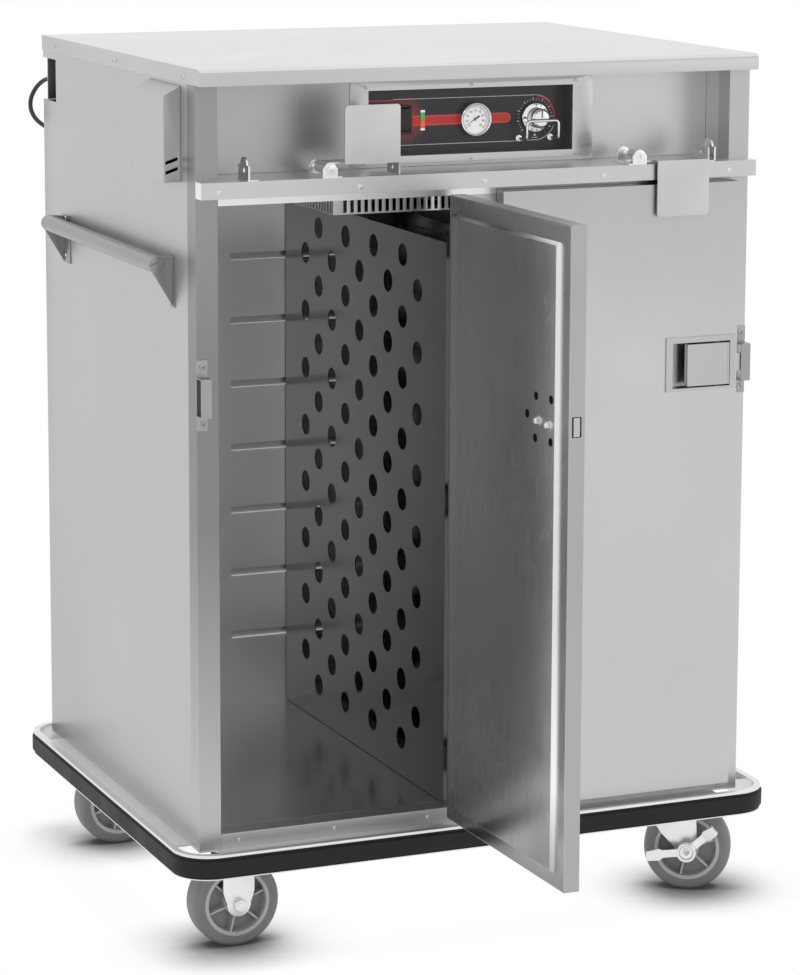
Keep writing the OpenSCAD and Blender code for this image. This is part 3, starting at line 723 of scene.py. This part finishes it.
# ------------------------------------------------------------------ controls
def ribbon(g, pts, w, y0, y1, closed=False):
    """A flat printed line of width w in the plane of the panel. pts are (x, z)."""
    P = [Vector((p[0], p[1])) for p in pts]
    n = len(P)
    L, Rr = [], []
    for i in range(n):
        a = P[(i - 1) % n] if (closed or i > 0) else P[i]
        b = P[(i + 1) % n] if (closed or i < n - 1) else P[i]
        t = (b - a).normalized()
        nrm = Vector((-t.y, t.x)) * (w / 2)
        L.append(P[i] + nrm)
        Rr.append(P[i] - nrm)
    v = [(p.x, y, p.y) for y in (y0, y1) for p in L + Rr]
    f = []
    m_ = n if closed else n - 1
    for i in range(m_):
        j = (i + 1) % n
        f += [(i, j, n + j, n + i), (2 * n + i, 3 * n + i, 3 * n + j, 2 * n + j), (i, 2 * n + i, 2 * n + j, j), (n + i, n + j, 3 * n + j, 3 * n + i)]
    if not closed:
        f += [(0, n, 3 * n, 2 * n), (n - 1, 3 * n - 1, 4 * n - 1, 2 * n - 1)]
    return g.poly(v, f)


Y0, Y1 = 117.82, 118.02
KX, KZ = 152.5, 1366
g = G()
stripe = [(-73.6, 1358.6)] + arc(98.9, 1367.3, 8.7, -90, 90, 14) + [(-73.6, 1376)]
g.prism(stripe, "y", Y0, Y1)
ribbon(g, [(-160, 1402.5), (-109, 1402.5)], 2.2, Y0, Y1)
ribbon(g, arc(KX, KZ, 36.5, -6, 84, 20), 2.6, Y0, Y1)
g.obj("panel_red_print", "red", "root", angle=20)
g = G()
ribbon(g, [(-73.6, 1360.2), (98.9, 1360.2)] + arc(98.9, 1367.3, 7.1, -90, 90, 14)[1:] + [(-73.6, 1374.4)], 0.7, Y0 - 0.05, Y1)
g.obj("panel_pink_print", "print_pink", "root", angle=20)
g = G()
ribbon(g, [(-109, 1404)] + [(x, 1404) for x in (-60, 0, 60, 120)] + arc(KX, KZ, 38, 90, 40, 8), 0.9, Y0, Y1)
ribbon(g, arc(KX, KZ, 38.5, -22, -88, 14) + [(x, 1327.0) for x in (120, 60, 0, -60, -153)], 0.9, Y0, Y1)
ribbon(g, [(-153, 1327), (-157, 1330), (-160, 1335), (-160, 1396), (-157, 1401), (-153, 1404)], 0.9, Y0, Y1)
for k in range(25):                                              # knob scale
    a = 222 - k * 252 / 24.0
    long_ = k % 3 == 0
    r0_, r1_ = 29.5, (34.0 if long_ else 32.0)
    p0 = (KX + r0_ * math.cos(R(a)), KZ + r0_ * math.sin(R(a)))
    p1 = (KX + r1_ * math.cos(R(a)), KZ + r1_ * math.sin(R(a)))
    ribbon(g, [p0, p1], 1.3 if long_ else 0.7, Y0, Y1)
g.prism([(KX - 2.6, 1334.6), (KX + 2.6, 1334.6), (KX, 1339.2)], "y", Y0, Y1)
ribbon(g, [(KX - 5, 1331.6), (KX + 5, 1331.6)], 0.9, Y0, Y1)
g.obj("panel_white_print", "print_white", "root", angle=20)

# dial: chrome case with a stepped bezel, white face, printed scale, domed lens
DX, DZ = 39.5, 1367
g = G()
g.lathe((DX, 0, DZ), (0, 1, 0), [(0, 115.1), (24.2, 115.1), (24.2, 108.4), (24.6, 107.2), (25.4, 106.4), (26.6, 106.0), (27.6, 106.5), (28.0, 107.6), (28.0, 109.2), (27.4, 110.0),
                                (27.4, 117.9), (22.8, 117.9), (22.8, 122), (0, 122)], 72)
case_o = g.obj("dial_case", "chrome", "root", angle=35)
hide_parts("thermometer")
g = G()
g.lathe((DX, 0, DZ), (0, 1, 0), [(0, 113.5), (1.04, 113.5), (24.4, 114.3), (24.4, 114.9), (0, 114.9)], 72)
# the dial face glows with painted light
g.obj("dial_face", "white", "root", angle=35)
g = G()
for k in range(41):
    a = 225 - k * 270 / 40.0
    long_ = k % 5 == 0
    r0_, r1_ = (18.2 if long_ else 20.0), 22.2
    ribbon(g, [(DX + r * math.cos(R(a)), DZ + r * math.sin(R(a))) for r in (r0_, r1_)], 0.62 if long_ else 0.32, 113.7, 114.25)
ribbon(g, [(DX + 22.2 * math.cos(R(225 - k * 4.5)), DZ + 22.2 * math.sin(R(225 - k * 4.5))) for k in range(61)], 0.3, 113.7, 114.25)
g.obj("dial_scale", "switch", "root", angle=20)
SEG = {"0": "abcdef", "1": "bc", "2": "abged", "3": "abgcd", "4": "fgbc", "5": "afgcd", "6": "afgedc", "7": "abc", "8": "abcdefg", "9": "gfabcd"}
LINE = {"a": ((0, 2), (1, 2)), "b": ((1, 2), (1, 1)), "c": ((1, 1), (1, 0)), "d": ((0, 0), (1, 0)), "e": ((0, 1), (0, 0)), "f": ((0, 2), (0, 1)), "g": ((0, 1), (1, 1))}
g = G()
for k, num in enumerate(("40", "60", "80", "100", "120", "140", "160", "180", "200")):
    a = 225 - k * 270 / 8.0
    cx_, cz_ = DX + 14.6 * math.cos(R(a)), DZ + 14.6 * math.sin(R(a))
    wd, ht, gap = 1.25, 1.35, 0.75
    x0 = cx_ - (len(num) * wd + (len(num) - 1) * gap) / 2
    for ch in num:
        for s in SEG[ch]:
            (ax_, az_), (bx_, bz_) = LINE[s]
            ribbon(g, [(x0 + ax_ * wd, cz_ + (az_ - 1) * ht), (x0 + bx_ * wd, cz_ + (bz_ - 1) * ht)], 0.34, 113.6, 114.1)
        x0 += wd + gap
g.obj("dial_numbers", "switch", "root", angle=20)
g = G()                                                          # needle: long point to the lower left, broad tail
c32, s32 = math.cos(R(32)), math.sin(R(32))


def nd(u, v):                                                    # u along the tail, v across
    return (DX + u * c32 - v * s32, DZ + u * s32 + v * c32)


g.prism([nd(-19, -0.12), nd(-19, 0.12), nd(-3, 0.75), nd(0, 1.2), nd(3.0, 1.5), nd(8, 1.9), nd(9.6, 1.5), nd(9.6, -1.5), nd(8, -1.9), nd(3.0, -1.5), nd(0, -1.2), nd(-3, -0.75)],
        "y", 112.7, 113.4)
g.lathe((DX, 0, DZ), (0, 1, 0), [(0, 111.7), (1.6, 111.8), (2.6, 112.4), (2.8, 113.0), (2.8, 113.45), (0, 113.45)], 28)
needle_o = g.obj("dial_needle", "switch", "needle", angle=30)
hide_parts("thermometer_needle")
g = G()
g.lathe((DX, 0, DZ), (0, 1, 0), [(0, 107.4), (8, 107.5), (16, 107.8), (22, 108.3), (24.1, 108.7), (24.1, 109.4), (22, 109.0), (16, 108.5), (8, 108.2), (0, 108.1)], 64)
g.obj("dial_lens", "lens", "root", angle=50)


# knob: fluted cap on a bright skirt
def fluted(g, origin, prof, n, seg=144):
    o = Vector(origin)
    verts, rings = [], []
    for r, h, f in prof:
        if r <= 1e-6:
            rings.append([len(verts)])
            verts.append(o + Vector((0, h, 0)))
            continue
        rings.append(list(range(len(verts), len(verts) + seg)))
        for k in range(seg):
            a = 2 * math.pi * k / seg
            q = r * (1 + f * math.cos(n * a))
            verts.append(o + Vector((q * math.cos(a), h, q * math.sin(a))))
    faces = []
    for a, b in zip(rings, rings[1:]):
        for k in range(seg):
            j = (k + 1) % seg
            if len(a) == 1:
                faces.append((a[0], b[k], b[j]))
            elif len(b) == 1:
                faces.append((a[k], a[j], b[0]))
            else:
                faces.append((a[k], a[j], b[j], b[k]))
    return g.poly(verts, faces)


g = G()
fluted(g, (KX, 0, KZ), [(0, 88.4, 0), (12.0, 88.4, 0), (13.2, 88.9, 0), (14.0, 89.6, 0), (14.2, 90.4, 0), (15.2, 90.9, 0.0), (16.4, 92.2, 0.02), (16.6, 96, 0.022), (16.8, 108, 0.022),
                        (16.9, 110.5, 0.0), (17.4, 111.6, 0), (20.4, 112.3, 0), (24.0, 113.3, 0), (25.0, 114.4, 0), (25.0, 115.9, 0), (0, 115.9, 0)], 36)
g.lathe((KX, 115.5, KZ), (0, 1, 0), [(3.15, 0), (3.15, 8)], 24)
knob_o = g.obj("knob_body", "chrome", "knob", angle=28)
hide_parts("thermostat_knob")
g = G()
g.prism([(KX - 0.9, 1367.5), (KX + 0.9, 1367.5), (KX + 0.9, 1379.2), (KX - 0.9, 1379.2)], "y", 88.05, 88.6)
for k in range(12):                                              # marks on the skirt
    a = 90 - k * 25
    ribbon(g, [(KX + r * math.cos(R(a)), KZ + r * math.sin(R(a))) for r in (19.6, 23.2)], 0.9, 111.6, 113.6)
g.obj("knob_marks", "switch", "knob", angle=20)

# wire guard in front of the knob
path = [(122, 117, 1331.5), (122, 100, 1331.5), (122, 89, 1331.5), (122, 85.8, 1332.3), (122, 83.8, 1334.3), (122, 83, 1337.5), (122, 83, 1347), (122, 83, 1356.5)]
path += [(122 + 6.5 - 6.5 * math.cos(R(a)), 83, 1356.5 + 6.5 * math.sin(R(a))) for a in (20, 45, 70, 90)]
path += [(151.5, 83, 1363)]
half = path[:]
path = half + [(303 - x, y, z) for x, y, z in reversed(half[:-1])]
g = G()
g.tube(path, 2.4, 14)
for x in (122, 181):
    g.lathe((x, 0, 1331.5), (0, 1, 0), [(2.5, 114.6), (4.6, 114.8), (5.8, 115.4), (6.0, 116.2), (6.0, 118.0), (0, 118.0)], 28)
guard_o = g.obj("knob_guard_wire", "chrome", "root", angle=40)
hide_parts("knob_guard")

# rocker, its bezel and the two lamps
g = G()
g.prism([(117.4, 1350.3), (117.4, 1388.7), (111.2, 1388.7), (110.9, 1388.2), (113.3, 1370.2), (113.5, 1368.6), (116.3, 1350.6)], "x", -97.4, -78.6)
rocker_o = g.obj("rocker_body", "switch", "rocker", 0.5, 2)
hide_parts("switch_rocker")
g = G()
for k in range(3):
    z = 1380 - 3.2 * k
    g.box(-95, -81, 111.2 + 0.42 * k, 112.6 + 0.42 * k, z, z + 1.1)
g.obj("rocker_grip", "switch", "rocker", 0.15)
g = G()


def frame_ring(g, x0, x1, z0, z1, t, y0, y1):
    g.box(x0, x1, y0, y1, z0, z0 + t)
    g.box(x0, x1, y0, y1, z1 - t, z1)
    g.box(x0, x0 + t, y0, y1, z0 + t, z1 - t)
    g.box(x1 - t, x1, y0, y1, z0 + t, z1 - t)


frame_ring(g, -101, -75, 1345, 1394, 3.0, 115.5, 118)
bez_o = g.obj("switch_bezel", "switch", "root", 0.6, 2)
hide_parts("indicator_lamps")
g = G()
g.box(-59, -51, 116.2, 118, 1381.2, 1385)
g.box(-59, -51, 116.2, 118, 1351, 1354.2)
# the end caps share the dial's painted glow
g.obj("lamp_end_caps", "white", "root", 0.5, 2)
g = G()
g.box(-59, -51, 116.0, 118, 1368.3, 1381.2)
g.obj("lamp_green", "green", "root", 0.7, 3)
g = G()
g.box(-59, -51, 116.0, 118, 1354.2, 1367.8)
g.obj("lamp_orange", "orange", "root", 0.7, 3)

# ------------------------------------------------------------------ wheels


def wheel(name, node, xf):
    body = node_body[node]
    half = [(57.4, -25), (67.0, -25), (69.6, -24.6), (72.0, -23.2), (74.0, -20.8), (75.3, -17.6), (76.0, -13.5), (76.2, -8), (76.2, 0)]
    t = [(r, h) for r, h in half] + [(r, -h) for r, h in reversed(half[:-1])]
    t = t + [(57.4, 20), (57.4, -25)]
    g = G(xf)
    g.lathe((0, 0, 0), (0, 1, 0), [(57.4, 0)] + [(57.4, -24.2), (58.6, -25.0)] + half[1:-1] + [(76.2, 0)] + [(r, -h) for r, h in reversed(half[1:-1])] + [(58.6, 25.0), (57.4, 24.2), (57.4, 0)], 96)
    for s in (-1, 1):                                            # moulded line on the tyre wall
        g.lathe((0, 0, 0), (0, s, 0), [(63.4, 24.6), (63.4, 25.25), (64.6, 25.25), (64.6, 24.6), (63.4, 24.6)], 96)
    ty = g.obj(name + "_tyre", "tyre", body, angle=28)
    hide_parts(node)
    g = G(xf)
    for s in (-1, 1):
        g.lathe((0, 0, 0), (0, s, 0), [(57.5, 5), (57.5, 24.4), (56.8, 25.5), (51.6, 25.5), (50.6, 24.6), (50.2, 14), (50.0, 5), (57.5, 5)], 96)
    g.obj(name + "_rim", "rim", body, angle=28)
    g = G(xf)
    g.lathe((0, 0, 0), (0, 1, 0), [(16, -5), (50.6, -5), (50.6, 5), (16, 5), (16, -5)], 64)
    ribs = G(xf)
    for k in range(6):
        a = R(60 * k + 18)
        for s in (-1, 1):
            c_, s_ = math.cos(a), math.sin(a)
            pts = [(20.5, 4.5), (50.8, 4.5), (51.0, 21.5), (20.5, 23.0)]
            verts = []
            for w in (-1.8, 1.8):
                for r, h in pts:
                    verts.append((r * c_ - w * s_, s * h, r * s_ + w * c_))
            ribs.poly(verts, [(0, 1, 2, 3), (7, 6, 5, 4), (0, 4, 5, 1), (1, 5, 6, 2), (2, 6, 7, 3), (3, 7, 4, 0)])
    g.obj(name + "_web", "web", body)
    ribs.obj(name + "_ribs", "rim", body, 0.5, 2)
    g = G(xf)
    for s in (-1, 1):
        g.lathe((0, 0, 0), (0, s, 0), [(16.5, 4), (16.5, 24.0), (17.5, 25.6), (19.2, 26.0), (20.6, 25.4), (21.4, 24.0), (22.0, 4), (16.5, 4)], 48)
        g.lathe((0, 0, 0), (0, s, 0), [(6.2, 20), (6.2, 26.8), (9, 27.0), (12.0, 26.4), (16.4, 24.5), (16.4, 20), (6.2, 20)], 40)
    g.obj(name + "_hub", "rim", body, angle=30)


SW = {"wheel_fr": T(395, 59, 0) @ RZ(-30) @ T(38, 0, 76.2), "wheel_rr": T(395, 698, 0) @ RZ(-30) @ T(38, 0, 76.2),
      "wheel_fl": T(-421, 60, 76.2), "wheel_rl": T(-421, 679, 76.2)}
for n, xf in SW.items():
    wheel(n, n, xf)
for n, xf, body in (("fl", SW["wheel_fl"], "root"), ("rl", SW["wheel_rl"], "root"), ("fr", SW["wheel_fr"], "swivel_fr"), ("rr", SW["wheel_rr"], "swivel_rr")):
    g = G(xf)                                                    # lock nuts and washers on the axle
    for s in ((-1, 1) if n in ("fl", "rl") else (1,)):
        g.lathe((0, 0, 0), (0, s, 0), [(6, 32.4), (11.6, 32.4), (11.6, 34.0), (6, 34.0)], 32)
        g.lathe((0, 0, 0), (0, s, 0), [(6.05, 34), (11.3, 34), (11.7, 34.6), (11.7, 43.0), (10.6, 43.9), (6.05, 43.9)], 6)
    g.obj("axle_nuts_" + n, "zinc", body, 0.25, 2)

# ------------------------------------------------------------------ brake pedals: stamped plate with a cup, two wings
for n, ky in (("fr", 59), ("rr", 698)):
    xf = SW["wheel_" + n]
    g = G(xf)
    g.lathe((0, 0, 0), (0, -1, 0), [(6.1, 46.2), (6.1, 49.0), (10.5, 49.0), (12.0, 50.2), (12.6, 54.8), (13.6, 55.9), (16.2, 56.0), (17.0, 55.0), (17.0, 47.0), (16.2, 46.0), (6.1, 46.2)], 44)
    for a, L_ in ((-42, 66.0), (174, 70.0)):                     # two arms, each bent out into a broad pedal
        loc = Matrix.Rotation(R(a), 4, "Y")
        n0 = len(g.bm.verts)
        pts = [(11.5, 7.0), (26, 6.8), (41, 7.2), (48, 10.8), (L_ - 0.2, 8.4), (L_ - 0.2, -8.4), (48, -10.8), (41, -7.2), (26, -6.8), (11.5, -7.0)]
        y_of = [-51.0, -51.0, -51.6, -54.5, -60.6, -60.6, -54.5, -51.6, -51.0, -51.0]
        verts = [loc @ Vector((p[0], y, p[1])) for p, y in zip(pts, y_of)] + [loc @ Vector((p[0], y + 2.6, p[1])) for p, y in zip(pts, y_of)]
        k = len(pts)
        quads = [(0, 1, 8, 9), (1, 2, 7, 8), (2, 3, 6, 7), (3, 4, 5, 6)]
        faces = list(quads) + [tuple(reversed([q + k for q in f])) for f in quads] + [(i, (i + 1) % k, (i + 1) % k + k, i + k) for i in range(k)]
        g.poly(verts, faces)
        g.poly([loc @ Vector(p) for p in [(x, y, z) for z in (-8.4, 8.4) for x, y in ((L_ - 2.6, -60.6), (L_ - 0.2, -60.6), (L_ - 0.2, -46.6), (L_ - 2.6, -46.6))]],
               [(0, 1, 2, 3), (7, 6, 5, 4), (0, 4, 5, 1), (1, 5, 6, 2), (2, 6, 7, 3), (3, 7, 4, 0)])
    b_o = g.obj("brake_pedal_" + n, "zinc", "pedal_" + n, 0.5, 2)
    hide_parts("brake_" + n)
    g = G(xf)
    g.lathe((0, 0, 0), (0, -1, 0), [(0, 46), (6.0, 46), (6.0, 52.4), (5.2, 53), (0, 53)], 20)
    g.lathe((0, 0, 0), (0, -1, 0), [(6, 32.4), (11.6, 32.4), (11.6, 34.0), (9.6, 34.2), (9.6, 43.4), (6, 43.4)], 6)
    g.obj("brake_axle_" + n, "zinc", "swivel_" + n, 0.25, 2)

# ------------------------------------------------------------------ stage and light
floor_m, fnt, fb = new_mat("floor_white")
fnt.nodes.remove(fb)                       # studio floor: plain white emission, with painted contact shadows from ambient occlusion where something stands close to it
ao = fnt.nodes.new("ShaderNodeAmbientOcclusion")
ao.inputs["Distance"].default_value = 0.16
ao.samples = 24
em = fnt.nodes.new("ShaderNodeEmission")
fnt.links.new(ramp(fnt, ao.outputs["AO"], [(0.0, (0.02, 0.02, 0.02)), (0.40, (0.06, 0.06, 0.06)), (0.68, (0.28, 0.28, 0.28)), (0.84, (0.68, 0.68, 0.68)), (0.97, (1, 1, 1))]), em.inputs[0])
fnt.links.new(em.outputs[0], [n for n in fnt.nodes if n.type == "OUTPUT_MATERIAL"][0].inputs[0])
bm = bmesh.new()
bmesh.ops.create_grid(bm, x_segments=1, y_segments=1, size=30)
me = bpy.data.meshes.new("floor")
bm.to_mesh(me); bm.free()
me.materials.append(floor_m)
floor = link(bpy.data.objects.new("floor", me))

world = bpy.data.worlds.new("studio")
bpy.context.scene.world = world
world.use_nodes = True
wnt = world.node_tree
wnt.nodes["Background"].inputs[0].default_value = (1, 1, 1, 1)
wnt.nodes["Background"].inputs[1].default_value = 1.0


def area(name, loc, target, size, power, size_y=None):
    ld = bpy.data.lights.new(name, "AREA")
    ld.energy = power
    ld.shape = "RECTANGLE"
    ld.size = size
    ld.size_y = size_y or size
    o = link(bpy.data.objects.new(name, ld))
    o.location = loc
    o.rotation_euler = (Vector(target) - Vector(loc)).to_track_quat("-Z", "Y").to_euler()
    return o


area("key", (-2.4, -3.2, 4.2), (0, 0, 0.8), 3.0, 22)
area("fill", (3.6, -3.0, 2.4), (0, 0, 0.8), 2.6, 10)

bpy.context.scene.view_settings.view_transform = "Standard"
